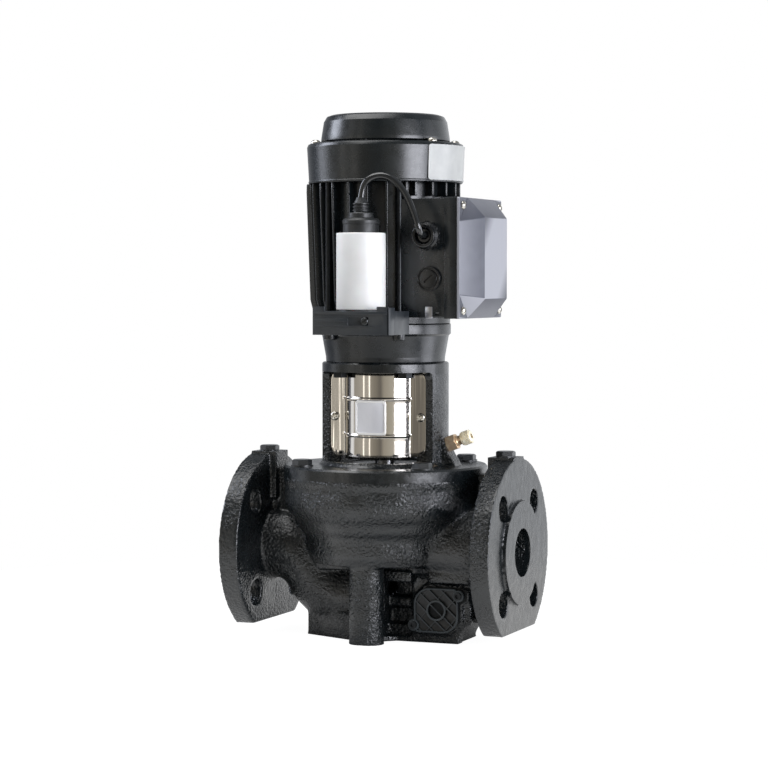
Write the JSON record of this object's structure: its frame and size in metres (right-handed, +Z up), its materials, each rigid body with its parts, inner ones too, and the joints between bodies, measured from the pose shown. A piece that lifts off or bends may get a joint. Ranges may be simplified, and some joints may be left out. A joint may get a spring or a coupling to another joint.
{
  "type": "in-line circulation pump",
  "caption": "In-line circulation pump with two pipe flanges, cast housing, coupling stool and finned motor with run capacitor.",
  "frame": {"origin": "centre of the foot's underside, on the shaft axis", "axes": "+Z up along the shaft, +X along the pipe towards the discharge flange, -Y the side with the coupling badge"},
  "size_m": [0.22, 0.1732, 0.3947],
  "materials": {
    "coated_cast_iron": "rough black paint",
    "painted_steel": "satin black paint",
    "painted_aluminium": "satin black paint",
    "lid_paint": "satin grey paint",
    "polished_stainless": "polished",
    "badge_steel": "satin",
    "brass": "turned",
    "zinc_steel": "zinc plated",
    "black_oxide_steel": "black oxide",
    "stainless_shaft": "ground",
    "bearing_steel": "ground",
    "lamination_steel": "stacked sheet",
    "copper_windings": "enamelled wire",
    "white_plastic": "smooth",
    "black_plastic": "moulded",
    "black_rubber": "moulded",
    "gasket_paper": "fibre gasket",
    "ceramic": "lapped",
    "plate_foil": "white coated",
    "lead_sheath": "smooth PVC"
  },
  "bodies": {
    "pump": {"pump_housing": "coated_cast_iron", "wear_ring": "stainless_shaft", "gauge_plugs": "black_oxide_steel", "service_cover_gasket": "gasket_paper", "service_cover": "black_plastic", "service_cover_screws": "black_oxide_steel", "housing_seal": "black_rubber", "motor_stool": "coated_cast_iron", "cover_bolts": "black_oxide_steel", "seal_seat": "ceramic", "coupling_guard_front": "polished_stainless", "coupling_guard_rear": "polished_stainless", "guard_screws": "zinc_steel", "guard_badge": "badge_steel", "vent_body": "brass", "motor_end_shield": "painted_aluminium", "motor_flange_screws": "black_oxide_steel", "stator_housing": "painted_aluminium", "stator_core": "lamination_steel", "stator_windings": "copper_windings", "lower_bearing_outer": "bearing_steel", "upper_bearing_outer": "bearing_steel", "rear_end_shield": "painted_aluminium", "tie_bolts": "black_oxide_steel", "fan_cover": "painted_steel", "fan_cover_screws": "zinc_steel", "fan_cover_cap": "painted_steel", "data_plate": "plate_foil", "terminal_box": "painted_aluminium", "terminal_box_gasket": "black_rubber", "terminal_box_lid": "lid_paint", "lid_screws": "zinc_steel", "terminal_block": "black_plastic", "terminal_studs": "brass", "cable_gland": "black_plastic", "gland_nut": "black_plastic", "blanking_plug": "black_plastic", "capacitor_can": "white_plastic", "capacitor_cap": "black_rubber", "capacitor_nut": "zinc_steel", "capacitor_bracket": "painted_steel", "bracket_screw": "black_oxide_steel", "capacitor_lead": "lead_sheath"},
    "rotor": {"impeller": "stainless_shaft", "impeller_nut": "stainless_shaft", "pump_shaft": "stainless_shaft", "seal_head": "ceramic", "seal_bellows": "black_rubber", "coupling_half_front": "zinc_steel", "coupling_half_rear": "zinc_steel", "coupling_bolts": "black_oxide_steel", "motor_shaft": "bearing_steel", "rotor_core": "lamination_steel", "fan": "black_plastic", "lower_bearing_inner": "bearing_steel", "upper_bearing_inner": "bearing_steel"},
    "lower_balls": {"lower_bearing_cage": "bearing_steel"},
    "upper_balls": {"upper_bearing_cage": "bearing_steel"},
    "vent_stem": {"vent_needle": "brass"},
    "vent_knob": {"vent_cap": "brass"}
  },
  "joints": [
    {"name": "rotor_spin", "type": "hinge", "parent": "pump", "child": "rotor", "pos_m": [0, 0, 0.2255], "axis": [0, 0, 1], "continuous": true},
    {"name": "lower_balls_roll", "type": "hinge", "parent": "pump", "child": "lower_balls", "pos_m": [0, 0, 0.2255], "axis": [0, 0, 1], "continuous": true},
    {"name": "upper_balls_roll", "type": "hinge", "parent": "pump", "child": "upper_balls", "pos_m": [0, 0, 0.3465], "axis": [0, 0, 1], "continuous": true},
    {"name": "vent_lift", "type": "slide", "parent": "pump", "child": "vent_stem", "axis": [0.9397, 0, 0.342], "range_m": [0, 0.0016]},
    {"name": "vent_turn", "type": "hinge", "parent": "vent_stem", "child": "vent_knob", "pos_m": [0.051, 0, 0.1475], "axis": [0.9397, 0, 0.342], "range_deg": [0, 720]}
  ],
  "couplings": [
    {"joint": "lower_balls_roll", "follows": "rotor_spin", "ratio": 0.38},
    {"joint": "upper_balls_roll", "follows": "rotor_spin", "ratio": 0.38},
    {"joint": "vent_turn", "follows": "vent_lift", "rad_per_m": 7854}
  ]
}
